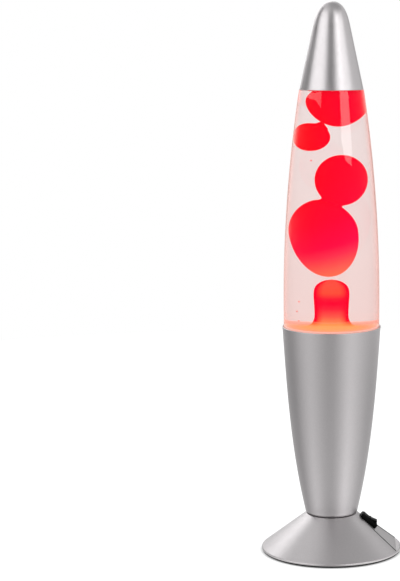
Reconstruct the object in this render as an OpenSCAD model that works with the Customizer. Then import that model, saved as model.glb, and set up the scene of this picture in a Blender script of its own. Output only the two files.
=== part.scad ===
// Liquid motion lamp: a silver foot and cup that hold a reflector bulb, a tapered
// glass bottle of liquid and wax that stands in the cup, and a silver cap.
// Millimetres, +Z up. The origin is on the table, on the lamp's axis.
// The front is -Y and the switch is on the +X side.

/* [Foot] */
// Radius of the foot's rim
foot_r = 52.5; // [48:0.5:58]
// Height of the foot's flat top above the table
foot_h = 28.4; // [26:0.1:34]
// Height of the upright band round the rim
rim_h = 1.5; // [1.3:0.1:2.5]
// Rounding of the rim's upper edge
rim_round = 0.9; // [0.5:0.1:1.1]
// Radius of the foot at its top
waist_r = 19; // [18:0.1:22]
// Sheet thickness of the foot
foot_sheet = 1; // [0.8:0.1:1.2]
// Depth of the switch flat below the cone, level, at the switch
flat_depth = 1.2; // [0.8:0.1:2]
// How much steeper the switch flat is than the cone, in degrees
flat_steeper = 2.8; // [1:0.1:4]

/* [Bottom cover] */
// Thickness of the cover
cover_t = 1; // [0.8:0.1:1.5]
// How far the cover's edge stands back from the foot's rim
cover_setback = 0.5; // [0.2:0.1:1]
// How far the rubber feet lift the cover off the table
pad_stand = 0.6; // [0.4:0.1:1.5]
// Depth of the pockets that hold the rubber feet
pad_pocket = 0.5; // [0.3:0.1:0.7]
// Radius of a rubber foot
pad_r = 5; // [3.5:0.5:7]
// Number of rubber feet
pad_count = 4; // [3:1:6]
// Distance of a rubber foot's centre from the foot's rim
pad_inset = 9.5; // [8:0.5:14]
// Height of the screw bosses inside the cover
boss_h = 1.8; // [1.4:0.1:3]
// Radius of the screw bosses
boss_r = 4.5; // [4:0.1:5.5]
// Shank radius of a cover screw
screw_r = 1.5; // [1.2:0.1:1.8]
// Head radius of a cover screw
screw_head_r = 3; // [2.5:0.1:3.4]
// Length of a cover screw
screw_l = 8; // [6:0.5:12]

/* [Frame inside the foot] */
// Thickness of the strap that holds the cover
strap_t = 1.2; // [1:0.1:1.6]
// Width of the strap
strap_w = 12; // [10:0.5:14]
// Half the length of the strap's top
strap_half = 15; // [13:0.5:16]
// Length of the strap's turned-out ends
strap_tab = 9; // [8:0.5:12]
// Direction of the strap, in degrees from +X
strap_turn = 135; // [120:5:150]
// Outer radius of the threaded nipple
nipple_r = 5; // [4.5:0.1:6]
// Wall of the threaded nipple
nipple_wall = 1.1; // [0.8:0.1:1.3]
// How far the nipple stands out below its nut
nipple_tail = 2; // [1:0.5:4]
// Height of the nipple's nut
nut_h = 4; // [3:0.5:6]
// Width of the nut across its flats
nut_af = 14; // [13:0.5:16]
// Thickness of the washer
washer_t = 1; // [0.8:0.1:1.6]
// Radius of the washer
washer_r = 8.5; // [8:0.5:10]

/* [Cup] */
// Height of the cup from the foot to its rim
cup_h = 142.4; // [125:0.2:155]
// Radius of the cup above its bottom corner
cup_base_r = 19.7; // [18.6:0.1:22]
// Rounding of the cup's bottom corner
cup_corner = 2.6; // [2:0.1:3.5]
// Radius of the cup at its rim
cup_rim_r = 36.6; // [34:0.1:39]
// How far the cup's side swells beyond a straight taper
cup_swell = 2.9; // [2:0.1:4]
// How much of that swell lies towards the cup's foot, as a share
cup_low = 0.34; // [0:0.02:0.5]
// Sheet thickness of the cup
cup_sheet = 0.8; // [0.6:0.1:1]
// Radius of the rolled edge at the rim
cup_bead = 0.5; // [0.45:0.05:0.8]

/* [Bottle] */
// Height of the bottle that shows between cup and cap
bottle_show_h = 175.2; // [165:0.2:190]
// Height of the straight band above the cup's rim
bottle_band = 6.2; // [4:0.2:10]
// How far the bottle's side swells beyond a straight taper
bottle_swell = 3.4; // [2:0.1:4]
// Wall of the bottle
bottle_wall = 2.4; // [2:0.1:3]
// Thickness of the bottle's floor at its edge
bottle_floor = 4; // [3:0.1:5.5]
// Rounding of the bottle's bottom corner
bottle_corner = 5; // [4:0.2:7]
// Depth of the hollow under the bottle
bottle_dish = 1.5; // [0.5:0.1:2]
// How far the bottle's shoulder stands out beyond the cap's mouth
ledge_proud = 0.4; // [0.2:0.1:1.2]
// Rounding of the shoulder's edge
ledge_round = 0.6; // [0.4:0.1:0.9]
// Wall of the screw closure
closure_wall = 1; // [0.8:0.1:1.4]
// Height of the screw closure
closure_h = 16; // [13:0.5:18]
// Thickness of the seal in the closure
seal_t = 0.8; // [0.6:0.1:1.2]

/* [Cap] */
// Height of the cap
cap_h = 64; // [57:0.5:70]
// Radius of the cap's mouth
cap_mouth_r = 23.5; // [22:0.1:25]
// Radius where the cap's cone turns into its tip
cap_tip_r = 13.7; // [12.4:0.1:15]
// Height of the rounded tip
cap_tip_h = 18; // [15:0.5:22]
// Sheet thickness of the cap
cap_sheet = 0.8; // [0.6:0.1:1]
// Width of the turned-in edge at the mouth
cap_lip = 1.6; // [1.2:0.1:2]

/* [Lampholder] */
// Outer radius of the lampholder
holder_r = 13.6; // [13:0.1:14.5]
// Height of the lower body
holder_base_h = 16.8; // [15:0.2:20]
// Height of the outer sleeve
holder_sleeve_h = 18; // [16:0.5:20]
// Wall of the lower body
holder_wall = 2; // [1.5:0.1:2.5]
// Floor of the lower body, where the nipple screws in
holder_floor = 4; // [3:0.2:5]
// Height of the insulating insert
insert_h = 8; // [6:0.5:9]
// Wall of the screw shell
shell_wall = 0.45; // [0.4:0.05:0.6]
// Height of the screw shell
shell_h = 16; // [14:0.5:17]

/* [Bulb] */
// Radius of the bulb's screw cap
bulb_cap_r = 6.95; // [6.5:0.05:7.3]
// Height of the bulb's screw cap
bulb_cap_h = 15.4; // [14:0.2:17]
// Largest radius of the bulb
bulb_r = 19.5; // [17:0.5:22]
// Length of the bulb from its tip contact to its front
bulb_l = 63.4; // [60:0.2:68]
// Wall of the bulb's glass
bulb_wall = 0.8; // [0.6:0.1:1]
// Space between the bulb's front and the bottle
bulb_space = 10; // [8:0.5:15]

/* [Switch] */
// Cone radius at which the switch sits
switch_r = 28.5; // [28:0.5:32]
// Length of the bezel, down the slope
bezel_l = 15; // [14:0.5:17]
// Width of the bezel
bezel_w = 10.5; // [10:0.5:12]
// Height of the bezel above the flat
bezel_h = 3.4; // [2.4:0.1:3.8]
// Rounding of the bezel's corners
bezel_round = 2; // [1:0.1:3]
// Slope cut round the bezel's upper edge
bezel_bevel = 1; // [0.3:0.1:1.2]
// Length of the body behind the bezel
switch_l = 13; // [12.8:0.1:13.4]
// Width of the body behind the bezel
switch_w = 8.8; // [8.6:0.1:9.4]
// Depth of the body behind the bezel
switch_d = 11; // [10:0.5:12]
// Length of the blade terminals
blade_l = 5; // [4:0.5:6]
// Half the length of the rocker
rocker_half = 5.4; // [5:0.1:5.5]
// Width of the rocker
rocker_w = 6.6; // [6:0.1:6.7]
// Angle of the rocker either side of level, in degrees
rocker_throw = 10; // [8:1:12]

/* [Cord inlet] */
// Cone radius at which the inlet sits, at the back
inlet_r = 40; // [36:0.5:43]
// Radius of the inlet's bore
inlet_bore = 3.2; // [2.5:0.1:3.6]
// Radius of the grommet's flanges
grommet_r = 6.5; // [6:0.1:7.5]

/* [Wax] */
// How far the pool's surface lies below the cup's rim
pool_below = 0.3; // [0.1:0.1:6]
// How far the widest level of the wax at the top lies below the bottle's shoulder
top_below = 10; // [8:0.5:11]
// The same for the small blob
blob_below = 35; // [34:0.5:37]
// The same for the upper blob of the pair
pair_high_below = 66.6; // [66:0.1:67.4]
// The same for the lower blob of the pair
pair_low_below = 104.5; // [104:0.5:105.5]
// Lean of the lower blob to the left, in degrees
pair_lean = 8; // [4:0.5:9]
// How pointed the wax is where it tapers: 1 is a plain oval
wax_point = 1.1; // [1:0.02:1.2]
// Largest radius of the rising column, as a share of the bore
column_fill = 0.29; // [0.2:0.01:0.4]
// Space between the column's head and the blob above it
column_space = 1.5; // [1.2:0.1:5]
// Radius of the wire coil's ring
coil_ring_r = 22; // [20:0.5:23]
// Radius of one curl of the wire coil
coil_curl_r = 4; // [3:0.2:4.2]
// Radius of the coil's wire
coil_wire_r = 0.6; // [0.4:0.05:0.8]
// Number of curls
coil_curls = 24; // [18:1:28]

/* [Clearances] */
// Gap between the bottle and the cup
seat_gap = 0.3; // [0.2:0.05:0.5]
// Gap between the cap's inside and the closure
cap_gap = 0.6; // [0.4:0.05:0.9]
// Gap round the liquid and the wax
fluid_gap = 0.2; // [0.15:0.05:0.3]
// Gap between assembled pieces that don't turn
fit_gap = 0.1; // [0.05:0.05:0.15]
// Running gap round a shaft
run_gap = 0.05; // [0.03:0.01:0.08]
// Gap under a sprung contact
contact_gap = 0.3; // [0.2:0.05:0.4]

/* [Hidden] */

$fn = 96;
eps = 0.01;

silver = [0.72, 0.71, 0.72];
black = [0.07, 0.07, 0.08];
steel = [0.62, 0.63, 0.65];
brass = [0.80, 0.65, 0.32];
white = [0.93, 0.92, 0.88];
wax_red = [0.93, 0.05, 0.12];

// Foot
cover_z = pad_stand;
rim_z = cover_z + cover_t;
ledge_of_flat = rim_z + rim_h;
cone_out_r = foot_r - 0.4 * rim_round;
cone_out_z = ledge_of_flat - 0.2 * rim_round;
cone_tilt = atan2(foot_h - cone_out_z, cone_out_r - waist_r);
cone_drop = foot_sheet / cos(cone_tilt);
function cone_z(r) = foot_h - (r - waist_r) * tan(cone_tilt);

// Switch flat, and the frame of the switch on it
flat_tilt = cone_tilt + flat_steeper;
flat_x = switch_r - flat_depth;
flat_z = cone_z(switch_r);
flat_reach = 60;

// Stack on the nipple
strap_top = foot_h - foot_sheet;
washer_z = strap_top - strap_t - washer_t;
nut_z = washer_z - nut_h;
nipple_z = nut_z - nipple_tail;
strap_foot_z = rim_z + boss_h;
strap_hole = strap_half + strap_tab / 2;
holder_z = foot_h + cup_sheet;
nipple_top = holder_z + holder_floor;

// Cup
cup_corner_z = foot_h + cup_corner;
cup_rim_z = foot_h + cup_h;
function side(z, z0, r0, z1, r1, swell, low = 0) = let (s = (z - z0) / (z1 - z0))
  r0 + (r1 - r0) * s + 4 * swell * s * (1 - s) * (1 + low * (1 - 2 * s));
function cup_out(z) = side(z, cup_corner_z, cup_base_r, cup_rim_z, cup_rim_r, cup_swell, cup_low);
function cup_in(z) = cup_out(z) - cup_sheet;

// Lampholder and bulb
insert_z = holder_z + holder_base_h - insert_h;
shell_z = holder_z + holder_base_h;
shell_in = bulb_cap_r + 2 * run_gap;
contact_t = 0.5;
contact_rise = 1.5;
contact_z = shell_z + contact_gap;
bulb_z = contact_z + contact_rise + contact_t + contact_gap;
tip_h = 1.6;
insulator_h = 2;
bulb_cap_z = bulb_z + tip_h + insulator_h / 2;
bulb_cap_top = bulb_cap_z + bulb_cap_h;
bulb_top = bulb_z + bulb_l;

// Cap
ledge_z = cup_rim_z + bottle_show_h;
cap_cone_top = ledge_z + cap_h - cap_tip_h;
cap_slope = (cap_mouth_r - cap_tip_r) / (cap_h - cap_tip_h);
cap_side = cap_sheet / cos(atan(cap_slope));
function cap_in(z) = cap_mouth_r - (z - ledge_z) * cap_slope - cap_side;

// Bottle
closure_below_tip = 9;
closure_top = cap_cone_top - closure_below_tip;
closure_r = cap_in(closure_top) - cap_gap;
neck_r = closure_r - closure_wall - seat_gap;
neck_top = closure_top - closure_wall - seal_t;
bottle_z = bulb_top + bulb_space;
band_top = cup_rim_z + bottle_band;
band_r = cup_in(cup_rim_z) - seat_gap;
shoulder_r = cap_mouth_r + ledge_proud;
shoulder_z = ledge_z - ledge_round;
collar_r = cap_mouth_r - cap_lip - cap_gap;
collar_top = ledge_z + 3;
neck_z = closure_top - closure_h - 1;
inner_turn_z = ledge_z - 5;
function bottle_out(z) = z < cup_rim_z ? cup_in(z) - seat_gap
  : z < band_top ? band_r : side(z, band_top, band_r, shoulder_z, shoulder_r, bottle_swell);
function neck_blend(s) = neck_r + (collar_r - 0.6 - neck_r) * (1 + cos(180 * s)) / 2;
function bottle_in(z) = bottle_out(z) - bottle_wall;
bottle_floor_z = bottle_z + bottle_floor;
liquid_top = collar_top + 0.55 * (neck_z - collar_top);

// Wax: every place and radius across the bottle is a share of the bore there
pool_z = cup_rim_z - pool_below;
top_z = ledge_z - top_below;
blob_z = ledge_z - blob_below;
pair_high_z = ledge_z - pair_high_below;
pair_low_z = ledge_z - pair_low_below;
top_r = 0.72 * bottle_in(top_z);
blob_r = 0.445 * bottle_in(blob_z);
pair_high_r = 0.487 * bottle_in(pair_high_z);
pair_low_r = 0.585 * bottle_in(pair_low_z);
top_at = [0.15 * bottle_in(top_z), 0.1 * bottle_in(top_z), top_z];
blob_at = [-0.465 * bottle_in(blob_z), -0.12 * bottle_in(blob_z), blob_z];
pair_high_at = [0.18 * bottle_in(pair_high_z), 0, pair_high_z];
pair_low_at = [-0.145 * bottle_in(pair_low_z), 0, pair_low_z];
top_up = 13;
top_down = 18;
blob_half = 10.2;
pair_high_half = 18.5;
pair_low_up = 24;
pair_low_down = 33;
column_top = pair_low_z - pair_low_down - column_space;
column_r = column_fill * bottle_in(column_top);
coil_z = bottle_floor_z + fluid_gap + coil_curl_r + 2 * coil_wire_r + 0.6;

// Curves
curve_steps = 12;
function bezier(a, b, c, d, n) = [for (i = [0:n]) let (t = i / n, u = 1 - t)
  u * u * u * a + 3 * u * u * t * b + 3 * u * t * t * c + t * t * t * d];
function arc(cx, cz, r, a0, a1, n = 8) =
  [for (i = [0:n]) let (a = a0 + (a1 - a0) * i / n) [cx + r * cos(a), cz + r * sin(a)]];
function unit(v) = v / norm(v);
function sample(z0, z1, n) = [for (i = [0:n]) z0 + (z1 - z0) * i / n];
function backwards(list) = [for (i = [len(list) - 1:-1:0]) list[i]];
// Points on a smooth curve through a few given ones
function spline(p, n) = [for (i = [0:len(p) - 2], k = [0:n - 1])
    let (t = k / n, a = p[max(i - 1, 0)], b = p[i], c = p[i + 1], d = p[min(i + 2, len(p) - 1)])
    b + t / 2 * (c - a) + t * t * (a - 2.5 * b + 2 * c - d / 2)
      + t * t * t * (1.5 * b - 1.5 * c + (d - a) / 2),
  p[len(p) - 1]];
// A path in the plane moved d to its left
function beside(p, d) = [for (i = [0:len(p) - 1])
  let (v = unit(p[min(i + 1, len(p) - 1)] - p[max(i - 1, 0)])) [p[i][0] - d * v[1], p[i][1] + d * v[0]]];
function on_axis(p) = [for (q = p) [max(q[0], 0), q[1]]];
// A strip of thickness t to the left of a bent path, with mitred corners
function strip(p, t) = concat(p, backwards([for (i = [0:len(p) - 1])
  let (u = unit(p[max(i, 1)] - p[max(i, 1) - 1]),
    w = unit(p[min(i + 1, len(p) - 1)] - p[min(i, len(p) - 2)]),
    m = unit([-u[1] - w[1], u[0] + w[0]]))
  p[i] + t / (m * [-u[1], u[0]]) * m]));

module turned(profile) {
  rotate_extrude() polygon(profile);
}

module ring(r_in, r_out, h) {
  difference() {
    cylinder(r = r_out, h = h);
    translate([0, 0, -eps]) cylinder(r = r_in, h = h + 2 * eps);
  }
}

// Round wire along a path: "across" gives one vector per point that no tangent runs along
module wire(path, across, r, sides) {
  n = len(path);
  rings = [for (i = [0:n - 1])
    let (t = unit(path[min(i + 1, n - 1)] - path[max(i - 1, 0)]),
      u = unit(cross(t, across[i])), v = cross(t, u))
    [for (k = [0:sides - 1]) let (a = 360 * k / sides) path[i] + r * (cos(a) * u + sin(a) * v)]];
  points = [for (one = rings, p = one) p];
  skin = [for (i = [0:n - 2], k = [0:sides - 1], half = [0, 1])
    let (a = i * sides + k, b = i * sides + (k + 1) % sides)
    half == 0 ? [a, a + sides, b] : [b, a + sides, b + sides]];
  first = [for (k = [1:sides - 2]) [0, k, k + 1]];
  base = (n - 1) * sides;
  last = [for (k = [1:sides - 2]) [base, base + k + 1, base + k]];
  polyhedron(points, concat(skin, first, last));
}

// Foot

module above_flat(depth, floor_z) {
  intersection() {
    translate([flat_x, 0, flat_z]) rotate([0, flat_tilt, 0])
      translate([-flat_reach / 2, -flat_reach / 2, -depth]) cube(flat_reach);
    translate([0, -flat_reach / 2, floor_z]) cube(flat_reach);
  }
}

module on_flat() {
  translate([flat_x, 0, flat_z]) rotate([0, flat_tilt, 0]) children();
}

module at_inlet() {
  translate([0, inlet_r, cone_z(inlet_r)]) rotate([-cone_tilt, 0, 0]) children();
}

foot_outside = concat([[0, rim_z], [foot_r, rim_z]],
  arc(foot_r - rim_round, ledge_of_flat - rim_round, rim_round, 0, 90 - cone_tilt),
  [[waist_r, foot_h], [0, foot_h]]);
foot_in_r = foot_r - foot_sheet;
foot_top_in_r = waist_r - (cone_drop - foot_sheet) / tan(cone_tilt);
foot_inside = [[0, rim_z - eps], [foot_in_r, rim_z - eps], [foot_in_r, cone_z(foot_in_r) - cone_drop],
  [foot_top_in_r, foot_h - foot_sheet], [0, foot_h - foot_sheet]];
nipple_hole_r = nipple_r + 2 * fit_gap;
grommet_neck_r = grommet_r - 1.7;
grommet_hole_r = grommet_neck_r + 2 * fit_gap;

module foot_shell() {
  color(silver) difference() {
    turned(foot_outside);
    above_flat(0, ledge_of_flat);
    difference() {
      turned(foot_inside);
      above_flat(foot_sheet, ledge_of_flat - foot_sheet);
    }
    translate([0, 0, foot_h - 2 * foot_sheet]) cylinder(r = nipple_hole_r, h = 3 * foot_sheet);
    on_flat() translate([-switch_l / 2 - fit_gap, -switch_w / 2 - fit_gap, -3 * foot_sheet])
      cube([switch_l + 2 * fit_gap, switch_w + 2 * fit_gap, 6 * foot_sheet]);
    at_inlet() translate([0, 0, -3 * foot_sheet]) cylinder(r = grommet_hole_r, h = 6 * foot_sheet);
  }
}

cover_r = foot_r - cover_setback;
pad_ring_r = foot_r - pad_inset;
pad_turn = 45;
sink_h = screw_head_r - screw_r;

module each_pad() {
  for (i = [0:pad_count - 1]) rotate(pad_turn + 360 * i / pad_count) translate([pad_ring_r, 0, 0]) children();
}

module each_cover_screw() {
  for (turn = [0, 180]) rotate(strap_turn + turn) translate([strap_hole, 0, 0]) children();
}

module bottom_cover() {
  color(black) difference() {
    union() {
      translate([0, 0, cover_z]) cylinder(r = cover_r, h = cover_t);
      each_cover_screw() translate([0, 0, cover_z]) cylinder(r = boss_r, h = cover_t + boss_h);
    }
    each_pad() cylinder(r = pad_r + fit_gap, h = pad_stand + pad_pocket);
    each_cover_screw() cylinder(r = screw_r + fit_gap, h = strap_foot_z + 1);
    each_cover_screw() translate([0, 0, cover_z])
      cylinder(r1 = screw_head_r + fit_gap, r2 = screw_r + fit_gap, h = sink_h);
  }
}

module rubber_feet() {
  pad_edge = 0.3;
  pad_h = pad_stand + pad_pocket;
  color([0.12, 0.12, 0.12]) each_pad()
    turned([[0, 0], [pad_r - pad_edge, 0], [pad_r, pad_edge], [pad_r, pad_h], [0, pad_h]]);
}

module cover_screws() {
  slot_w = 0.8;
  slot_d = 0.7;
  color(steel) each_cover_screw() translate([0, 0, cover_z]) difference() {
    turned([[0, 0], [screw_head_r, 0], [screw_r, sink_h], [screw_r, screw_l - 0.6], [screw_r - 0.6, screw_l],
      [0, screw_l]]);
    for (turn = [0, 90]) rotate(turn) translate([-screw_head_r * 0.6, -slot_w / 2, -eps])
      cube([screw_head_r * 1.2, slot_w, slot_d]);
  }
}

module cover_bracket() {
  color(steel) rotate(strap_turn) difference() {
    rotate([90, 0, 0]) linear_extrude(strap_w, center = true) bracket_section();
    translate([0, 0, strap_top - 2 * strap_t]) cylinder(r = nipple_hole_r, h = 3 * strap_t);
    for (s = [-1, 1]) translate([s * strap_hole, 0, strap_foot_z - strap_t])
      cylinder(r = screw_r + run_gap, h = 3 * strap_t);
  }
}

module bracket_section() {
  leg_h = strap_top - strap_foot_z;
  translate([-strap_half, strap_top - strap_t]) square([2 * strap_half, strap_t]);
  for (s = [-1, 1]) {
    translate([s * (strap_half - strap_t / 2) - strap_t / 2, strap_foot_z]) square([strap_t, leg_h]);
    translate([s * (strap_half + strap_tab / 2 - strap_t / 2) - strap_tab / 2 - strap_t / 2, strap_foot_z])
      square([strap_tab + strap_t, strap_t]);
  }
}

module threaded_nipple() {
  color(steel) translate([0, 0, nipple_z]) ring(nipple_r - nipple_wall, nipple_r, nipple_top - nipple_z);
}

module nipple_nut() {
  color(steel) translate([0, 0, nut_z]) difference() {
    cylinder(r = nut_af / 2 / cos(30), h = nut_h, $fn = 6);
    translate([0, 0, -eps]) cylinder(r = nipple_r + run_gap, h = nut_h + 2 * eps);
  }
}

module nipple_washer() {
  color(steel) translate([0, 0, washer_z]) ring(nipple_hole_r, washer_r, washer_t);
}

// Cup

side_steps = 20;
cup_zs = sample(cup_corner_z, cup_rim_z - cup_bead, side_steps);
cup_floor_r = cup_base_r - cup_corner;

module cup_shell() {
  outside = [for (z = cup_zs) [cup_out(z), z]];
  inside = [for (z = backwards(cup_zs)) [cup_in(z), z]];
  bead_r = cup_in(cup_rim_z) + cup_bead;
  color(silver) difference() {
    turned(concat([[0, foot_h]], arc(cup_floor_r, cup_corner_z, cup_corner, -90, 0), outside,
      arc(bead_r, cup_rim_z - cup_bead, cup_bead, -20, 180), inside,
      arc(cup_floor_r, cup_corner_z, cup_corner - cup_sheet, 0, -90), [[0, foot_h + cup_sheet]]));
    translate([0, 0, foot_h - cup_sheet]) cylinder(r = nipple_hole_r, h = 3 * cup_sheet);
  }
}

// Lampholder

holder_in_r = holder_r - holder_wall;
insert_step = 1.2;
insert_r = holder_in_r - fit_gap;
shell_out = shell_in + shell_wall;
holder_edge = 1;

module lampholder_base() {
  color(white) difference() {
    turned([[0, holder_z], [holder_r - holder_edge, holder_z], [holder_r, holder_z + holder_edge],
      [holder_r, shell_z], [holder_in_r, shell_z], [holder_in_r, insert_z],
      [holder_in_r - insert_step, insert_z], [holder_in_r - insert_step, nipple_top], [0, nipple_top]]);
    translate([0, 0, holder_z - eps]) cylinder(r = nipple_r + run_gap, h = holder_floor + 2 * eps);
  }
}

module lampholder_insert() {
  color(white) difference() {
    translate([0, 0, insert_z]) cylinder(r = insert_r, h = insert_h);
    for (s = [-1, 1]) translate([s * lead_apart, 0, insert_z - eps])
      cylinder(r = lead_r + fit_gap, h = insert_h / 2);
  }
}

module lampholder_shell() {
  color(brass) translate([0, 0, shell_z]) ring(shell_in, shell_out, shell_h);
}

module lampholder_sleeve() {
  sleeve_in = shell_out + fit_gap;
  top = shell_z + holder_sleeve_h;
  color(white) turned([[sleeve_in, shell_z], [holder_r, shell_z], [holder_r, top - holder_edge],
    [holder_r - holder_edge, top], [sleeve_in + holder_edge, top], [sleeve_in, top - holder_edge]]);
}

module centre_contact() {
  contact_w = 4;
  spring = [[-4.5, 0], [-1, 0], [1, contact_rise], [4, contact_rise]];
  color(brass) translate([0, 0, contact_z]) rotate([90, 0, 0])
    linear_extrude(contact_w, center = true) polygon(strip(spring, contact_t));
}

// Bulb

bulb_cap_wall = 0.4;
bulb_neck_r = bulb_cap_r - bulb_cap_wall - fit_gap;
bulb_neck_z = bulb_cap_z + 6;
bulb_wide_z = bulb_top - 11;
bulb_outside = concat([[bulb_neck_r, bulb_neck_z]],
  bezier([bulb_neck_r, bulb_cap_top], [bulb_neck_r + 2.5, bulb_cap_top + 12],
    [bulb_r, bulb_wide_z - 12], [bulb_r, bulb_wide_z], curve_steps),
  bezier([bulb_r, bulb_wide_z + 0.5], [bulb_r, bulb_wide_z + 6], [bulb_r * 0.6, bulb_top], [0, bulb_top],
    curve_steps));

module bulb_glass() {
  color([0.9, 0.9, 0.88, 0.6])
    turned(concat(bulb_outside, backwards(on_axis(beside(bulb_outside, bulb_wall)))));
}

module bulb_cap() {
  taper_r = 5.4;
  inside_r = bulb_cap_r - bulb_cap_wall;
  top = bulb_cap_top - 0.1;
  color(steel) turned([[taper_r, bulb_cap_z], [bulb_cap_r - 0.6, bulb_cap_z + 0.2],
    [bulb_cap_r, bulb_cap_z + 1.2], [bulb_cap_r, top], [inside_r, top], [inside_r, bulb_cap_z + 1.6],
    [taper_r, bulb_cap_z + 1]]);
}

insulator_r = 5.3;
tip_r = 2.6;

module bulb_insulator() {
  z = bulb_z + tip_h;
  color(black) turned([[0, z], [tip_r + 0.4, z], [insulator_r, z + insulator_h * 0.6],
    [insulator_r, z + insulator_h], [0, z + insulator_h]]);
}

module bulb_contact() {
  crown = spline([[0.1, bulb_z], [1.4, bulb_z + 0.3], [tip_r, bulb_z + tip_h]], 4);
  color(steel) turned(concat([[0, bulb_z]], crown, [[0, bulb_z + tip_h]]));
}

stem_z = bulb_z + tip_h + insulator_h + fit_gap;
stem_h = 24;
stem_r = 2.6;
support_r = 0.3;
support_lean = 15;
support_l = 10;
filament_r = 0.35;
filament_z = stem_z + stem_h + support_l * cos(support_lean);
filament_at = stem_r * 0.5 + support_l * sin(support_lean);

module bulb_stem() {
  flare_z = stem_z + 3;
  flare_r = bulb_neck_r - bulb_wall - fit_gap;
  color([0.85, 0.88, 0.88]) {
    turned([[0, stem_z], [flare_r - 1.5, stem_z], [stem_r, flare_z], [stem_r, stem_z + stem_h - 1],
      [stem_r - 0.8, stem_z + stem_h], [0, stem_z + stem_h]]);
    for (s = [-1, 1]) translate([s * stem_r * 0.5, 0, stem_z + stem_h - 1]) rotate([0, s * support_lean, 0])
      cylinder(r = support_r, h = support_l + 1, $fn = 16);
  }
}

module filament() {
  bow = 0.6;
  across = filament_at + support_r;
  path = [for (i = [-4:4]) [across * i / 4, bow * (16 - i * i) / 16, filament_z + filament_r + contact_gap]];
  color([0.3, 0.3, 0.32]) wire(path, [for (p = path) [0, 0, 1]], filament_r, 6);
}

// Switch

well_l = 2 * rocker_half + 0.6;
well_w = rocker_w + 0.6;
well_d = 4;
pivot_z = bezel_h - 0.4;
axle_r = 1;
axle_end = 0.7;
crown_z = 1.4;
saddle_z = 0.8;
keel_z = -4;

// Plate outline with round corners, drawn in by "inset"
module bezel_outline(inset) {
  l = bezel_l - 2 * inset;
  w = bezel_w - 2 * inset;
  r = bezel_round - inset;
  square([l, w - 2 * r], center = true);
  square([l - 2 * r, w], center = true);
  for (x = [-1, 1], y = [-1, 1]) translate([x * (l / 2 - r), y * (w / 2 - r)]) circle(r = r, $fn = 32);
}

module switch_housing() {
  seat = 0.05;
  bevel_z = bezel_h - bezel_bevel;
  color(black) on_flat() difference() {
    union() {
      translate([0, 0, seat]) linear_extrude(bevel_z - seat) bezel_outline(0);
      hull() {
        translate([0, 0, bevel_z - eps]) linear_extrude(eps) bezel_outline(0);
        translate([0, 0, bezel_h - eps]) linear_extrude(eps) bezel_outline(bezel_bevel);
      }
      translate([-switch_l / 2, -switch_w / 2, -switch_d]) cube([switch_l, switch_w, switch_d + bevel_z]);
    }
    translate([-well_l / 2, -well_w / 2, pivot_z - well_d - 1]) cube([well_l, well_w, bezel_h + well_d + 2]);
    translate([0, 0, pivot_z]) rotate([90, 0, 0])
      cylinder(r = axle_r + run_gap, h = well_w + 2 * axle_end, center = true);
  }
}

module switch_rocker() {
  hollow = concat([[-rocker_half, crown_z]],
    bezier([-rocker_half, crown_z], [-rocker_half / 2, saddle_z], [-1, saddle_z], [0, saddle_z], 6),
    bezier([0, saddle_z], [1, saddle_z], [rocker_half / 2, saddle_z], [rocker_half, crown_z], 6));
  keel = [[rocker_half, 0.4], [2.4, keel_z + 1], [1, keel_z], [-1, keel_z], [-2.4, keel_z + 1],
    [-rocker_half, 0.4]];
  color(black) on_flat() translate([0, 0, pivot_z]) rotate([0, -rocker_throw, 0]) rotate([90, 0, 0]) {
    linear_extrude(rocker_w, center = true) polygon(concat(hollow, keel));
    cylinder(r = axle_r, h = well_w + axle_end, center = true);
  }
}

blade_t = 0.8;
blade_w = 4.8;
blade_at = 2.6;

module switch_terminals() {
  color(brass) on_flat() for (s = [-1, 1])
    translate([-blade_w / 2, s * blade_at - blade_t / 2, -switch_d - blade_l])
      cube([blade_w, blade_t, blade_l]);
}

// Cord inlet

module cord_grommet() {
  edge = 0.8;
  outer_h = 1.6;
  proud = 0.05;
  inner_z = -foot_sheet - 0.5;
  inner_h = 1.8;
  color(black) at_inlet() turned([[inlet_bore, inner_z - inner_h], [grommet_r - 1, inner_z - inner_h],
    [grommet_r - 0.5, inner_z], [grommet_neck_r, inner_z], [grommet_neck_r, proud], [grommet_r, proud],
    [grommet_r, outer_h - edge], [grommet_r - edge, outer_h], [inlet_bore, outer_h]]);
}

// Wiring inside the foot

block_at = [-23, -2];
block_l = 12;
block_w = 17;
block_h = 9.4;
pole_at = 4;
pole_z = 4.6;
lead_r = 1;
lead_apart = 1.6;
lead_sides = 8;
block_screw_at = 3.4;
block_screw_r = 1.3;
groove_w = 1.6;
groove_d = 3;

module each_pole() {
  for (s = [-1, 1]) translate([block_at[0], block_at[1] + s * pole_at, rim_z]) children();
}

module terminal_block() {
  color(white) difference() {
    translate([block_at[0] - block_l / 2, block_at[1] - block_w / 2, rim_z])
      cube([block_l, block_w, block_h]);
    each_pole() translate([0, 0, pole_z]) rotate([0, 90, 0])
      cylinder(r = lead_r + 2 * fit_gap, h = block_l + 2, center = true);
    each_pole() for (s = [-1, 1]) translate([s * block_screw_at, 0, pole_z])
      cylinder(r = block_screw_r + fit_gap, h = block_h);
    translate([block_at[0] - block_l / 2 - 1, block_at[1] - groove_w / 2, rim_z + block_h - groove_d])
      cube([block_l + 2, groove_w, groove_d + 1]);
  }
}

module terminal_screws() {
  screw_top = block_h - 0.6;
  slot_w = 0.5;
  color(steel) each_pole() for (s = [-1, 1]) translate([s * block_screw_at, 0, 0]) difference() {
    translate([0, 0, pole_z + lead_r + fit_gap]) cylinder(r = block_screw_r, h = screw_top - pole_z - lead_r);
    translate([-block_screw_r, -slot_w / 2, screw_top - 0.4]) cube([2 * block_screw_r, slot_w, 2]);
  }
}

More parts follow.
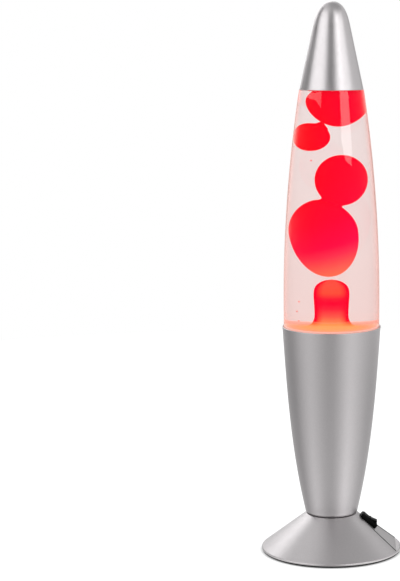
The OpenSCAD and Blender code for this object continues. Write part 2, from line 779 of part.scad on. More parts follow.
function to_row(p) = [flat_x + p[0] * cos(flat_tilt) + p[2] * sin(flat_tilt), p[1],
  flat_z - p[0] * sin(flat_tilt) + p[2] * cos(flat_tilt)];
blade_tip_z = -switch_d - blade_l;
lead_top = insert_z + insert_h / 2 - contact_gap;
block_face = block_at[0] + block_l / 2 - 2;
lead_low = rim_z + 2.6;
lead_straight = 3;
// Places that the leads pass on their way, from the lamp's axis and above the low run
live_past = [[-6, 4, 0], [4, 5.5, 0], [10, 3.2, 0]];
switched_past = [[9, -2.2, 0.6], [4, -1, 4]];
neutral_past = [[-6, -3, 3]];
function route(past) = [for (p = past) p + [0, 0, lead_low]];

module lead(points, tint) {
  path = spline(points, 4);
  color(tint) wire(path, [for (p = path) [0, 1, 0.02]], lead_r, lead_sides);
}

// Straight run of a lead out of the terminal block's pole on side s
function from_block(s) = [for (run = [0, lead_straight, 2 * lead_straight])
  [block_face + run, block_at[1] + s * pole_at, rim_z + pole_z]];
// Straight run of a lead off the switch's blade on side s
function from_blade(s) = [for (run = [contact_gap, lead_straight])
  to_row([0, s * blade_at, blade_tip_z - run])];

module live_lead() {
  lead(concat(from_block(1), route(live_past), backwards(from_blade(1))), [0.45, 0.26, 0.14]);
}

// Straight run of a lead up through the nipple, on side s
function up_nipple(s) = [for (z = [nipple_z - 2, nipple_z + 4, nipple_top, lead_top]) [s * lead_apart, 0, z]];

module switched_lead() {
  lead(concat(from_blade(-1), route(switched_past), up_nipple(1)), black);
}

module neutral_lead() {
  lead(concat(from_block(-1), route(neutral_past), up_nipple(-1)), [0.15, 0.35, 0.75]);
}

// Bottle

bottle_side_z = bottle_z + bottle_corner;
bottle_corner_r = bottle_out(bottle_side_z) - bottle_corner;
bottle_seat_zs = sample(bottle_side_z, cup_rim_z, 8);
bottle_show_zs = sample(band_top, shoulder_z, side_steps);
bore_zs = concat(bottle_seat_zs, [for (z = bottle_show_zs) if (z < inner_turn_z) z], [inner_turn_z]);
bore_corner = max(bottle_corner - bottle_wall, 1);
neck_steps = sample(0, 1, curve_steps);
neck_in_r = neck_r - bottle_wall;

// Inside of the bottle from its floor to a height in the neck, d clear of the glass
function neck_bore(d) = [for (s = neck_steps)
  [neck_blend(s) - bottle_wall - d, collar_top + (neck_z - collar_top) * s]];
function bore(d, low, high) = [for (z = bore_zs) if (z > low + eps && z < high - eps) [bottle_in(z) - d, z]];
bore_base_z = bottle_floor_z + bore_corner;
function bore_foot(d) = concat([[0, bottle_floor_z + d]],
  arc(bottle_in(bore_base_z) - bore_corner, bore_base_z, bore_corner - d, -90, 0));

module bottle() {
  dish_r = bottle_corner_r - 3;
  under = [for (s = sample(0, 1, 8)) [dish_r * s, bottle_z + bottle_dish * (1 - s * s)]];
  color([0.9, 0.92, 0.93, 0.3]) turned(concat(under,
    arc(bottle_corner_r, bottle_side_z, bottle_corner, -90, 0),
    [for (z = bottle_seat_zs) if (z > bottle_side_z) [bottle_out(z), z]],
    [for (z = bottle_show_zs) [bottle_out(z), z]],
    arc(shoulder_r - ledge_round, shoulder_z, ledge_round, 15, 90, 4),
    [[collar_r, ledge_z], [collar_r - 0.6, collar_top]],
    [for (s = neck_steps) if (s > 0) [neck_blend(s), collar_top + (neck_z - collar_top) * s]],
    [[neck_r, neck_top - 0.5], [neck_r - 0.5, neck_top], [neck_in_r, neck_top]],
    backwards(neck_bore(0)), backwards(bore(0, bore_base_z, ledge_z)), backwards(bore_foot(0))));
}

module bottle_closure() {
  closure_z = closure_top - closure_h;
  inside_r = neck_r + seat_gap;
  edge = 0.8;
  color(white) turned([[inside_r, closure_z], [closure_r, closure_z], [closure_r, closure_top - edge],
    [closure_r - edge, closure_top], [0, closure_top], [0, closure_top - closure_wall],
    [inside_r, closure_top - closure_wall]]);
}

module closure_seal() {
  color([0.85, 0.85, 0.8]) translate([0, 0, neck_top]) cylinder(r = neck_r - fit_gap, h = seal_t);
}

// Liquid and wax

// Egg of radius r that reaches "up" above its widest level and "down" below it.
// A half is a plain oval at 1, fuller below 1 and more pointed above it.
module egg(at, r, up, down, above = 1, below = 1) {
  steps = 12;
  function half(h, power) = [for (i = [0:steps]) let (a = 90 * i / steps)
    [r * pow(cos(a), power), h * pow(sin(a), power)]];
  translate(at) turned(concat([[0, -down]], backwards([for (p = half(down, below)) if (p[0] > eps)
    [p[0], -p[1]]]), [for (p = half(up, above)) if (p[0] > eps && p[1] > eps) p], [[0, up]]));
}

// Rising column: the points lie on the axis side of the pool's surface
column_tall = column_top - pool_z;
column_points = [[bottle_in(pool_z), pool_z], [1.7 * column_r, pool_z + 0.01 * column_tall],
  [1.2 * column_r, pool_z + 0.06 * column_tall], [0.98 * column_r, pool_z + 0.18 * column_tall],
  [0.94 * column_r, pool_z + 0.3 * column_tall], [0.97 * column_r, pool_z + 0.5 * column_tall],
  [column_r, pool_z + 0.72 * column_tall], [0.91 * column_r, pool_z + 0.85 * column_tall],
  [0.71 * column_r, pool_z + 0.92 * column_tall], [0.45 * column_r, pool_z + 0.97 * column_tall],
  [0, column_top]];
function column_skin(d) = [for (p = spline(column_points, 4))
  [max(p[0] + (p[0] > eps ? d : 0), 0), p[1] + d]];

module pool_body(d) {
  skin = column_skin(d);
  rim = fluid_gap - d;
  turned(concat(bore_foot(rim), bore(rim, bore_base_z, pool_z),
    [[bottle_in(pool_z) - rim, pool_z + d]], [for (p = skin) if (p[0] < bottle_in(pool_z) - rim - 1) p]));
}

module wax_pool() {
  color([0.98, 0.45, 0.25]) difference() {
    pool_body(0);
    rotate_extrude() translate([coil_ring_r, coil_z]) circle(r = coil_curl_r + coil_wire_r + 0.4, $fn = 48);
  }
}

module pair_shape(d) {
  translate(pair_low_at) rotate([0, -pair_lean, 0])
    egg([0, 0, 0], pair_low_r + d, pair_low_up + d, pair_low_down + d, above = wax_point);
  egg(pair_high_at, pair_high_r + d, pair_high_half + d, pair_high_half + d);
}

module wax_pair() {
  color(wax_red) pair_shape(0);
}

module wax_blob() {
  color(wax_red) egg(blob_at, blob_r, blob_half, blob_half);
}

module wax_top() {
  color(wax_red) egg(top_at, top_r, top_up, top_down, below = wax_point);
}

module liquid() {
  color([0.98, 0.85, 0.85, 0.3]) difference() {
    turned(concat([[0, bore_base_z + 1], [bottle_in(bore_base_z) - fluid_gap, bore_base_z + 1]],
      bore(fluid_gap, bore_base_z + 1, ledge_z),
      [for (p = neck_bore(fluid_gap)) if (p[1] <= liquid_top) p], [[0, liquid_top]]));
    pool_body(fluid_gap);
    translate([0, 0, bottle_floor_z]) cylinder(r = cup_rim_r, h = pool_z + fluid_gap - bottle_floor_z);
    pair_shape(fluid_gap);
    egg(blob_at, blob_r + fluid_gap, blob_half + fluid_gap, blob_half + fluid_gap);
    egg(top_at, top_r + fluid_gap, top_up + fluid_gap, top_down + fluid_gap, below = wax_point);
  }
}

// Wire coil: one wire wound round a ring that is left open

coil_rings = 8;
coil_open = 12;
coil_n = coil_curls * coil_rings;
coil_turns = [for (i = [0:coil_n]) [(360 - coil_open) * i / coil_n, 360 * coil_curls * i / coil_n]];
coil_path = [for (a = coil_turns) let (r = coil_ring_r + coil_curl_r * cos(a[1]))
  [r * cos(a[0]), r * sin(a[0]), coil_z + coil_curl_r * sin(a[1])]];
half_curl = coil_rings / 2;
coil_least = min([for (i = [0:coil_n - half_curl - 1], j = [i + half_curl:min(i + 2 * coil_rings, coil_n)])
  norm(coil_path[i] - coil_path[j])]) - 2 * coil_wire_r;
coil_ends = norm(coil_path[0] - coil_path[coil_n]) - 2 * coil_wire_r;
echo(least_gap_of_the_coil_to_itself = min(coil_least, coil_ends));

module wire_coil() {
  color(steel) wire(coil_path, [for (a = coil_turns) [-sin(a[0]), cos(a[0]), 0]], coil_wire_r, 6);
}

// Cap

module top_cap() {
  lean = 10;
  tip_flat = 8.6;
  tip_z = ledge_z + cap_h;
  outside = concat([[cap_mouth_r, ledge_z]], bezier([cap_tip_r, cap_cone_top],
    [cap_tip_r - lean * cap_slope, cap_cone_top + lean], [tip_flat, tip_z], [0, tip_z], 2 * curve_steps));
  inside = on_axis(beside(outside, cap_sheet));
  lip_in = cap_mouth_r - cap_lip;
  color(silver) turned(concat(outside, backwards([for (p = inside) if (p[1] > ledge_z + 2 * cap_sheet) p]),
    [[cap_in(ledge_z + cap_sheet), ledge_z + cap_sheet], [lip_in, ledge_z + cap_sheet], [lip_in, ledge_z]]));
}

foot_shell();
cup_shell();
bottom_cover();
rubber_feet();
cover_screws();
cover_bracket();
threaded_nipple();
nipple_nut();
nipple_washer();
lampholder_base();
lampholder_insert();
lampholder_shell();
lampholder_sleeve();
centre_contact();
bulb_glass();
bulb_cap();
bulb_insulator();
bulb_contact();
bulb_stem();
filament();
switch_housing();
switch_rocker();
switch_terminals();
cord_grommet();
terminal_block();
terminal_screws();
live_lead();
switched_lead();
neutral_lead();
bottle();
bottle_closure();
closure_seal();
liquid();
wax_pool();
wax_pair();
wax_blob();
wax_top();
wire_coil();
top_cap();
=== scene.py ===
"""Liquid motion lamp: the finish of every piece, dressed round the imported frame.

Metres, +Z up, the front is -Y and the switch is on the +X side. Nodes whose shape reads
well keep it and get a material. The spun shells, the bottle, the liquid, the wax, the
threads and the switch are modelled here as dense smooth meshes in the same space.
"""

import math

import bmesh
import bpy
from mathutils import Matrix, Vector


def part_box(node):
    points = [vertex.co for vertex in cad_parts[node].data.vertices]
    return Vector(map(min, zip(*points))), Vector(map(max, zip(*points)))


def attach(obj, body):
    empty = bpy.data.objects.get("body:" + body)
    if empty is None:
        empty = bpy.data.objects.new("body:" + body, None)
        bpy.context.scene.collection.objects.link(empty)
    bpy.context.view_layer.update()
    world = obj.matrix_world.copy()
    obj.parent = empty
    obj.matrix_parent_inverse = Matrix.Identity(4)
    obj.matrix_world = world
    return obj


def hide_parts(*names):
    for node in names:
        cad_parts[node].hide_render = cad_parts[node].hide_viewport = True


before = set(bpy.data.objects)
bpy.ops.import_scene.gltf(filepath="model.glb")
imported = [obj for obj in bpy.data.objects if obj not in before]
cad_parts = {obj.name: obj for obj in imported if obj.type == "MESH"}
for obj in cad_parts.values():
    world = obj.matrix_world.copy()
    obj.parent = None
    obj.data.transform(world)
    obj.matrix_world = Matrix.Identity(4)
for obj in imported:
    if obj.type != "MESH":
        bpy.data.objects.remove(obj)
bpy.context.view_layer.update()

# Units and fineness
MM = 0.001
ROUND_STEPS = 192
STAGE_STEPS = 96
SHARP_ANGLE = math.radians(32)
ON_AXIS = 1e-7

# Cup, as a spun sheet
CUP_BASE_R = 19.7 * MM
CUP_CORNER = 2.6 * MM
CUP_RIM_R = 36.6 * MM
CUP_SWELL = 2.9 * MM
CUP_LOW = 0.34
CUP_SHEET = 0.8 * MM
CUP_BEAD = 0.5 * MM
CUP_HOLE_R = 5.2 * MM

# Cap, as a spun sheet
CAP_TIP_R = 13.7 * MM
CAP_TIP_H = 18 * MM
CAP_TIP_LEAN = 10 * MM
CAP_TIP_FLAT = 8.6 * MM
CAP_SHEET = 0.8 * MM
CAP_LIP = 1.6 * MM
CAP_EDGE = 0.25 * MM

# Bottle
SEAT_GAP = 0.3 * MM
BOTTLE_BAND = 6.2 * MM
BOTTLE_SWELL = 3.4 * MM
BOTTLE_WALL = 2.4 * MM
BOTTLE_FLOOR = 4 * MM
BOTTLE_CORNER = 5 * MM
DISH_DEPTH = 1.5 * MM
DISH_INSET = 3 * MM
LEDGE_PROUD = 0.4 * MM
LEDGE_ROUND = 0.6 * MM
COLLAR_GAP = 0.6 * MM
COLLAR_H = 3 * MM
COLLAR_STEP = 0.6 * MM
NECK_PAST_SEAL = 0.1 * MM
NECK_BELOW_CLOSURE = 1 * MM
MOUTH_EDGE = 0.5 * MM
INNER_TURN = 5 * MM

# Closure, with ribs for the grip
CLOSURE_GAP = 0.3 * MM
CLOSURE_TOP = 1 * MM
CLOSURE_ROUND = 1.6 * MM
CLOSURE_RIBS = 40
RIB_STEPS = 8
RIB_DEPTH = 0.3 * MM
RIB_START = 1.5 * MM
RIB_TOUCH = 0.1 * MM

# Liquid and wax
LIQUID_SINK = 0.2 * MM
LIQUID_BELOW_POOL = 1 * MM
POOL_BELOW_RIM = 0.3 * MM
WAX_GAP = 0.2 * MM
WAX_VOXEL = 0.9 * MM
WAX_ROUNDS = 10
LIP_H = 1.3 * MM
LIP_DEPTH = 0.6 * MM
LIP_REACH = 2.4 * MM
LIP_EDGE_SHARE = 0.05
SPECK_R = 0.45 * MM

# Wire coil in the wax
COIL_RING_R = 22 * MM
COIL_CURL_R = 4 * MM
COIL_WIRE_R = 0.62 * MM
COIL_CURLS = 24
CURL_STEPS = 24
COIL_OPEN = math.radians(12)

# Foot, and the flat for the switch on it
WAIST_R = 19 * MM
CONE_OUT = (52.14 * MM, 2.92 * MM)
FLAT_AT_R = 28.5 * MM
FLAT_DEPTH = 1.2 * MM
FLAT_STEEPER = math.radians(2.8)
CREASE_R = 0.52 * MM
CREASE_SUNK = 0.26 * MM
CREASE_SHORT = 0.4 * MM

# Switch, with the soft edges of a moulding: voxel and rounds of smoothing
BEZEL_SOFT = (0.22 * MM, 14)
ROCKER_SOFT = (0.2 * MM, 10)

# Screw threads: pitch and depth
BULB_THREAD = (2.82 * MM, 0.5 * MM)
NIPPLE_THREAD = (1 * MM, 0.4 * MM)
THREAD_WALL = 0.3 * MM
THREAD_START = 0.2 * MM
THREAD_FADE_PITCHES = 1.5
RINGS_PER_PITCH = 12
THREAD_STEPS = 96

# Levels and radii that the frame gives
foot_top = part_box("cup_shell")[0].z
rim_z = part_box("cup_shell")[1].z
ledge_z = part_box("top_cap")[0].z
tip_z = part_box("top_cap")[1].z
mouth_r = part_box("top_cap")[1].x
bottle_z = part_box("bottle")[0].z
neck_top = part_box("bottle")[1].z
closure_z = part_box("bottle_closure")[0].z
closure_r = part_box("bottle_closure")[1].x
neck_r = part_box("closure_seal")[1].x + NECK_PAST_SEAL
liquid_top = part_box("liquid")[1].z
column_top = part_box("wax_pool")[1].z
pool_z = rim_z - POOL_BELOW_RIM
coil_z = (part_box("wire_coil")[0].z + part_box("wire_coil")[1].z) / 2
bulb_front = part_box("bulb_glass")[1].z


# Outlines

def levels(start, end, count):
    return [start + (end - start) * i / count for i in range(count + 1)]


def arc(centre_r, centre_z, radius, start, end, count):
    angles = [math.radians(a) for a in levels(start, end, count)]
    return [(centre_r + radius * math.cos(a), centre_z + radius * math.sin(a)) for a in angles]


def bezier(a, b, c, d, count):
    points = []
    for t in levels(0, 1, count):
        u = 1 - t
        weights = (u * u * u, 3 * u * u * t, 3 * u * t * t, t * t * t)
        points.append(tuple(sum(w * p[k] for w, p in zip(weights, (a, b, c, d))) for k in (0, 1)))
    return points


def beside(points, distance):
    """The same path moved to its left."""
    moved = []
    for i, (r, z) in enumerate(points):
        before, after = points[max(i - 1, 0)], points[min(i + 1, len(points) - 1)]
        run = Vector((after[0] - before[0], after[1] - before[1])).normalized()
        moved.append((max(r - distance * run.y, 0.0), z + distance * run.x))
    return moved


def swelled(z, low_z, low_r, high_z, high_r, swell, low=0.0):
    """Radius of a cone with a swelled side. With low above 0, the swell is fuller below its middle."""
    s = (z - low_z) / (high_z - low_z)
    return low_r + (high_r - low_r) * s + 4 * swell * s * (1 - s) * (1 + low * (1 - 2 * s))


def cup_out(z):
    return swelled(z, foot_top + CUP_CORNER, CUP_BASE_R, rim_z, CUP_RIM_R, CUP_SWELL, CUP_LOW)


def bottle_out(z):
    if z < rim_z:
        return cup_out(z) - CUP_SHEET - SEAT_GAP
    band_r = CUP_RIM_R - CUP_SHEET - SEAT_GAP
    band_top = rim_z + BOTTLE_BAND
    if z < band_top:
        return band_r
    return swelled(z, band_top, band_r, ledge_z - LEDGE_ROUND, mouth_r + LEDGE_PROUD, BOTTLE_SWELL)


def bottle_in(z):
    return bottle_out(z) - BOTTLE_WALL


# Meshes

def placed(name, data):
    piece = bpy.data.objects.new(name, data)
    bpy.context.scene.collection.objects.link(piece)
    return piece


def make_smooth(mesh):
    mesh.polygons.foreach_set("use_smooth", [True] * len(mesh.polygons))


def finish_mesh(name, bm):
    bmesh.ops.recalc_face_normals(bm, faces=bm.faces)
    mesh = bpy.data.meshes.new(name)
    bm.to_mesh(mesh)
    bm.free()
    make_smooth(mesh)
    mesh.set_sharp_from_angle(angle=SHARP_ANGLE)
    return placed(name, mesh)


def settled(name, start):
    """A smooth piece with the final mesh of a starting object, which goes."""
    done = start.evaluated_get(bpy.context.evaluated_depsgraph_get())
    mesh = bpy.data.meshes.new_from_object(done)
    mesh.name = name
    mesh.materials.clear()
    make_smooth(mesh)
    bpy.data.objects.remove(start)
    return placed(name, mesh)


def lathe(name, outline, loop=False, steps=ROUND_STEPS, shape=None):
    """Spins an outline of (radius, height) points. A point on the axis is one vertex.

    The shape gives what a turn's angle, radius and height add to the radius.
    """
    bm = bmesh.new()
    turns = [math.tau * k / steps for k in range(steps)]
    rings = []
    for r, z in outline:
        ring = []
        for a in turns if r > ON_AXIS else turns[:1]:
            reach = r + (shape(a, r, z) if shape else 0)
            ring.append(bm.verts.new((reach * math.cos(a), reach * math.sin(a), z)))
        rings.append(ring)
    for a, b in zip(rings, rings[1:] + (rings[:1] if loop else [])):
        for k in range(steps):
            corners = (a[k % len(a)], a[(k + 1) % len(a)], b[(k + 1) % len(b)], b[k % len(b)])
            face = tuple(dict.fromkeys(corners))
            if len(face) > 2:
                bm.faces.new(face)
    return finish_mesh(name, bm)


def tube(name, paths, radius):
    """Round wires along lists of points, as one mesh."""
    curve = bpy.data.curves.new(name, "CURVE")
    curve.dimensions = "3D"
    curve.bevel_depth = radius
    curve.bevel_resolution = 3
    curve.use_fill_caps = True
    for path in paths:
        line = curve.splines.new("POLY")
        line.points.add(len(path) - 1)
        for point, place in zip(line.points, path):
            point.co = (*place, 1.0)
    return settled(name, placed(name + "_start", curve))


def balls(bm, places):
    for centre, radius in places:
        bmesh.ops.create_icosphere(bm, subdivisions=3, radius=radius, matrix=Matrix.Translation(centre))


def worked(name, node, voxel, rounds, finer=0, joined=()):
    """A node's shape, and balls joined to it, melted into one smooth skin."""
    bm = bmesh.new()
    bm.from_mesh(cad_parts[node].data)
    balls(bm, joined)
    source = bpy.data.meshes.new(name + "_start")
    bm.to_mesh(source)
    bm.free()
    start = placed(name + "_start", source)
    remesh = start.modifiers.new("melt", "REMESH")
    remesh.mode = "VOXEL"
    remesh.voxel_size = voxel
    smooth = start.modifiers.new("relax", "SMOOTH")
    smooth.iterations = rounds
    smooth.factor = 0.5
    start.modifiers.new("fine", "SUBSURF").levels = finer
    return settled(name, start)


# Shader nodes

def fill(tree, node, inputs):
    """An input that is a socket is linked, any other is set."""
    for name, value in inputs.items():
        if isinstance(value, bpy.types.NodeSocket):
            tree.links.new(value, node.inputs[name])
        else:
            node.inputs[name].default_value = value


def add(tree, kind, inputs, **settings):
    node = tree.nodes.new("ShaderNode" + kind)
    for name, value in settings.items():
        setattr(node, name, value)
    fill(tree, node, inputs)
    return node


def maths(tree, operation, *values):
    return add(tree, "Math", dict(enumerate(values)), operation=operation).outputs[0]


def vectors(tree, operation, *values, output="Value"):
    return add(tree, "VectorMath", dict(enumerate(values)), operation=operation).outputs[output]


def mapped(tree, value, start=(0.0, 1.0), end=(0.0, 1.0)):
    """The value with the start range mapped to the end range, and held at its ends."""
    inputs = {"Value": value, "From Min": start[0], "From Max": start[1], "To Min": end[0], "To Max": end[1]}
    return add(tree, "MapRange", inputs).outputs["Result"]


def mixed(tree, share, a, b, blend="MIX"):
    inputs = {"Factor": share, "A": a, "B": b}
    return add(tree, "Mix", inputs, data_type="RGBA", blend_type=blend).outputs["Result"]


def ramp(tree, value, stops):
    """A colour ramp over a value: stops are (value, colour)."""
    low, high = stops[0][0], stops[-1][0]
    node = add(tree, "ValToRGB", {"Fac": mapped(tree, value, (low, high))})
    elements = node.color_ramp.elements
    while len(elements) < len(stops):
        elements.new(0.5)
    for element, (at, tint) in zip(elements, stops):
        element.position = (at - low) / (high - low)
        element.color = tint
    return node.outputs["Color"]


def place_of(tree):
    return add(tree, "TexCoord", {}).outputs["Object"]


def along(tree, place, axis):
    return add(tree, "SeparateXYZ", {"Vector": place}).outputs[axis]


def grain(tree, place, scale, detail=2.0):
    return add(tree, "TexNoise", {"Vector": place, "Scale": scale, "Detail": detail}).outputs["Fac"]


# Materials

GRAIN_RANGE = (0.3, 0.7)
BROADER = 12


def colour(r, g, b):
    return (r, g, b, 1.0)


def grey(level):
    return colour(level, level, level)


def plain(name, inputs):
    """A material with constant values on its Principled shader's own sockets."""
    made = bpy.data.materials.new(name)
    made.use_nodes = True
    tree = made.node_tree
    shader = tree.nodes["Principled BSDF"]
    fill(tree, shader, inputs)
    return made, tree, shader, place_of(tree)


def shade(tree, factor, dark, light):
    """The middle range of a grain as a colour from dark to light."""
    low, high = GRAIN_RANGE
    return ramp(tree, factor, [(low, dark), (high, light)])


def bumped(tree, shader, height, depth, strength=1.0):
    bump = add(tree, "Bump", {"Height": height, "Distance": depth, "Strength": strength})
    fill(tree, shader, {"Normal": bump.outputs["Normal"]})


def textured(name, dark, light, rough, scale, depth, inputs):
    """Colour, roughness and bump that follow one grain of the given scale per metre."""
    made, tree, shader, place = plain(name, inputs)
    fine = grain(tree, place, scale)
    broad = grain(tree, place, scale / BROADER)
    fill(tree, shader, {"Base Color": shade(tree, broad, dark, light),
                        "Roughness": mapped(tree, fine, GRAIN_RANGE, rough)})
    bumped(tree, shader, fine, depth)
    return made


# Name: dark and light tint, range of roughness, grain per metre, depth of the bump, constant inputs
METAL = {"Metallic": 1.0}
BULB_IOR = 1.5
STEM = {"Transmission Weight": 1.0, "IOR": BULB_IOR}
TEXTURES = {
    "black_plastic": (grey(0.006), grey(0.01), (0.5, 0.65), 3000, 0.02 * MM, {"Specular IOR Level": 0.2}),
    "black_gloss": (grey(0.003), grey(0.005), (0.3, 0.4), 900, 0.002 * MM, {"Specular IOR Level": 0.015}),
    "black_rubber": (grey(0.01), grey(0.018), (0.7, 0.85), 4000, 0.03 * MM, {}),
    "zinc_steel": (colour(0.5, 0.51, 0.53), colour(0.66, 0.66, 0.68), (0.25, 0.4), 2500, 0.005 * MM, METAL),
    "white_plastic": (colour(0.62, 0.61, 0.58), colour(0.7, 0.69, 0.66), (0.35, 0.5), 2600, 0.01 * MM, {}),
    "brass": (colour(0.66, 0.47, 0.18), colour(0.82, 0.63, 0.3), (0.2, 0.35), 2200, 0.005 * MM, METAL),
    "bulb_metal": (grey(0.6), colour(0.76, 0.75, 0.74), (0.2, 0.35), 2200, 0.005 * MM, METAL),
    "stem_glass": (colour(0.94, 0.94, 0.93), colour(0.99, 0.99, 0.98), (0.02, 0.06), 1800, 0.01 * MM, STEM),
    # The crease's dark line is painted shade where the flat meets the cone
    "crease_painted_shade": (grey(0.06), grey(0.09), (0.5, 0.6), 2500, 0.002 * MM, {"Specular IOR Level": 0.1}),
    "seal": (colour(0.7, 0.7, 0.66), colour(0.8, 0.8, 0.76), (0.6, 0.75), 3000, 0.02 * MM, {}),
    "lead_brown": (colour(0.12, 0.05, 0.02), colour(0.17, 0.075, 0.03), (0.35, 0.5), 3000, 0.01 * MM, {}),
    "lead_black": (grey(0.01), grey(0.02), (0.35, 0.5), 3000, 0.01 * MM, {}),
    "lead_blue": (colour(0.02, 0.08, 0.35), colour(0.03, 0.12, 0.45), (0.35, 0.5), 3000, 0.01 * MM, {}),
}


# Silver paint: scales are per metre
FLAKE_SCALE = 5200.0
PEEL_SCALE = 420.0
PEEL_DEPTH = 0.004 * MM
SILVER_DARK = colour(0.432, 0.414, 0.42)
SILVER_LIGHT = colour(0.472, 0.453, 0.46)
SILVER_ROUGH = (0.33, 0.39)


def silver_paint():
    """Satin silver paint: fine flakes under a slight orange peel."""
    made, tree, shader, place = plain("silver_paint", METAL)
    flakes = add(tree, "TexVoronoi", {"Vector": place, "Scale": FLAKE_SCALE}).outputs["Color"]
    value = add(tree, "SeparateColor", {"Color": flakes}).outputs["Red"]
    peel = grain(tree, place, PEEL_SCALE)
    fill(tree, shader, {"Base Color": shade(tree, value, SILVER_DARK, SILVER_LIGHT),
                        "Roughness": mapped(tree, peel, GRAIN_RANGE, SILVER_ROUGH)})
    bumped(tree, shader, peel, PEEL_DEPTH)
    return made


# Glass and liquid. Light bends only where the glass meets the air or the liquid, so the liquid has no IOR
GLASS_IOR = 1.48
LIQUID_IOR = 1.4
NO_IOR = 1.0
GLASS_TINTS = [(rim_z, colour(0.99, 0.91, 0.9)), (ledge_z, colour(0.995, 0.95, 0.945))]
LIQUID_TINTS = [(rim_z, colour(0.95, 0.845, 0.827)), (ledge_z, colour(0.89, 0.859, 0.857))]
GLASS_EDGE_PAINTED_PINK = colour(0.97, 0.78, 0.76)
GLASS_SHEEN = {"Sheen Weight": 1.0, "Sheen Roughness": 0.35, "Sheen Tint": colour(1.0, 0.6, 0.5)}
EDGE_RANGE = (0.5, 1.0)
STREAK_SCALE = 45.0
STREAK_DEPTH = 0.01 * MM
STREAK_STRENGTH = 0.4
FROST_SCALE = 1800.0
COAT_BELOW_FRONT = 10.5 * MM
COAT_FADE = 0.4 * MM


def clear(name, stops, ior, gloss=0.0, edge=None, sheen=None):
    """Clear glass or liquid with faint drawn streaks in its surface. The tint follows the height.

    The edge's tint is a painted reflection: a pink of the wax's light where a wall of glass is seen at a low
    angle.
    """
    inputs = {"Roughness": 0.0, "IOR": ior, "Transmission Weight": 1.0, "Specular Tint": grey(gloss)}
    made, tree, shader, place = plain(name, {**inputs, **(sheen or {})})
    tint = ramp(tree, along(tree, place, "Z"), stops)
    if edge:
        grazing = add(tree, "LayerWeight", {"Blend": 0.5}).outputs["Facing"]
        tint = mixed(tree, mapped(tree, grazing, EDGE_RANGE), tint, edge)
    fill(tree, shader, {"Base Color": tint})
    bumped(tree, shader, grain(tree, place, STREAK_SCALE, 1.0), STREAK_DEPTH, STREAK_STRENGTH)
    return made


def reflector_glass():
    """Bulb glass that is silvered up to a height and frosted above it."""
    made, tree, shader, place = plain("bulb_glass", {"IOR": BULB_IOR})
    coat_z = bulb_front - COAT_BELOW_FRONT
    coat = mapped(tree, along(tree, place, "Z"), (coat_z - COAT_FADE, coat_z + COAT_FADE), (1.0, 0.0))
    frost = grain(tree, place, FROST_SCALE)
    tint = shade(tree, frost, colour(0.9, 0.9, 0.89), colour(0.96, 0.96, 0.95))
    fill(tree, shader, {"Metallic": coat,
                        "Transmission Weight": mapped(tree, coat, end=(0.7, 0.0)),
                        "Base Color": tint,
                        "Roughness": mapped(tree, frost, GRAIN_RANGE, (0.2, 0.35))})
    return made


# Wax: its tints and glow are painted light of the bulb below. Tints stand beside heights, radii or places
# across, in mm
PAINTED_WAX_GLOW = 0.6
PAINTED_GLOW_UNDER_CAP = 0.88
CAP_SHADE = 9 * MM
WAX_RED = colour(1.0, 0.0, 0.012)
COLUMN_SIDE = colour(1.0, 0.0, 0.028)
BLOB_GAP = 3.5 * MM
BLOB_SLANT = (-0.3, 0.0, 1.0)
BLOB_PAINTED_GLOW_TINTS = [
    (0, colour(1.0, 0.17, 0.09)), (4, colour(1.0, 0.13, 0.085)), (10, colour(1.0, 0.07, 0.075)),
    (15, colour(1.0, 0.03, 0.07)), (22, colour(1.0, 0.002, 0.05)), (42, colour(1.0, 0.0, 0.025)),
    (70, WAX_RED),
]
COOLER_TINTS = [(-15, colour(0, 0, 0)), (20, colour(0, 0, 0.02))]
# The pool's and the column's tints are painted glow of the bulb's light
POOL_TINTS = [(12, colour(1.0, 0.43, 0.115)), (22, colour(1.0, 0.46, 0.24)), (33, colour(1.0, 0.62, 0.52))]
COLUMN_TINTS = [
    (0, colour(1.0, 0.42, 0.11)), (6, colour(1.0, 0.24, 0.095)), (10, colour(1.0, 0.1, 0.078)),
    (15, colour(1.0, 0.02, 0.051)), (19.5, colour(1.0, 0.0, 0.036)), (23, colour(1.0, 0.012, 0.04)),
    (27, colour(1.0, 0.08, 0.044)), (36, colour(1.0, 0.095, 0.07)),
]
COLUMN_START = 1.5 * MM
COLUMN_FULL = 6 * MM
FRONT_RANGE = (0.15, 0.75)


def wax_base(name):
    # The wax's emission is painted glow, standing in for the bulb's light through the wax
    return plain(name, {"Roughness": 0.5, "Specular IOR Level": 0.0, "Emission Strength": PAINTED_WAX_GLOW})


def paint_wax_glow(tree, shader, tint):
    """Molten wax with a painted glow: an emission in the wax's tint stands in for the bulb's light shining
    through it from below.
    """
    fill(tree, shader, {"Base Color": tint, "Emission Color": tint})


def stops_from(start, stops):
    return [(start + mm * MM, tint) for mm, tint in stops]


def red_wax():
    made, tree, shader, place = wax_base("wax_red")
    # Painted glow: the orange of the bulb's light from below reaches higher on the right
    slanted = vectors(tree, "DOT_PRODUCT", place, BLOB_SLANT)
    heights = ramp(tree, slanted, stops_from(column_top + BLOB_GAP, BLOB_PAINTED_GLOW_TINTS))
    cooler = ramp(tree, along(tree, place, "X"), stops_from(0.0, COOLER_TINTS))
    paint_wax_glow(tree, shader, mixed(tree, 1.0, heights, cooler, "ADD"))
    # Painted light: below the cap, which shades it, the wax's painted glow is stronger
    shaded = (ledge_z - CAP_SHADE, ledge_z)
    glow = mapped(tree, along(tree, place, "Z"), shaded, (PAINTED_WAX_GLOW, PAINTED_GLOW_UNDER_CAP))
    fill(tree, shader, {"Emission Strength": glow})
    return made


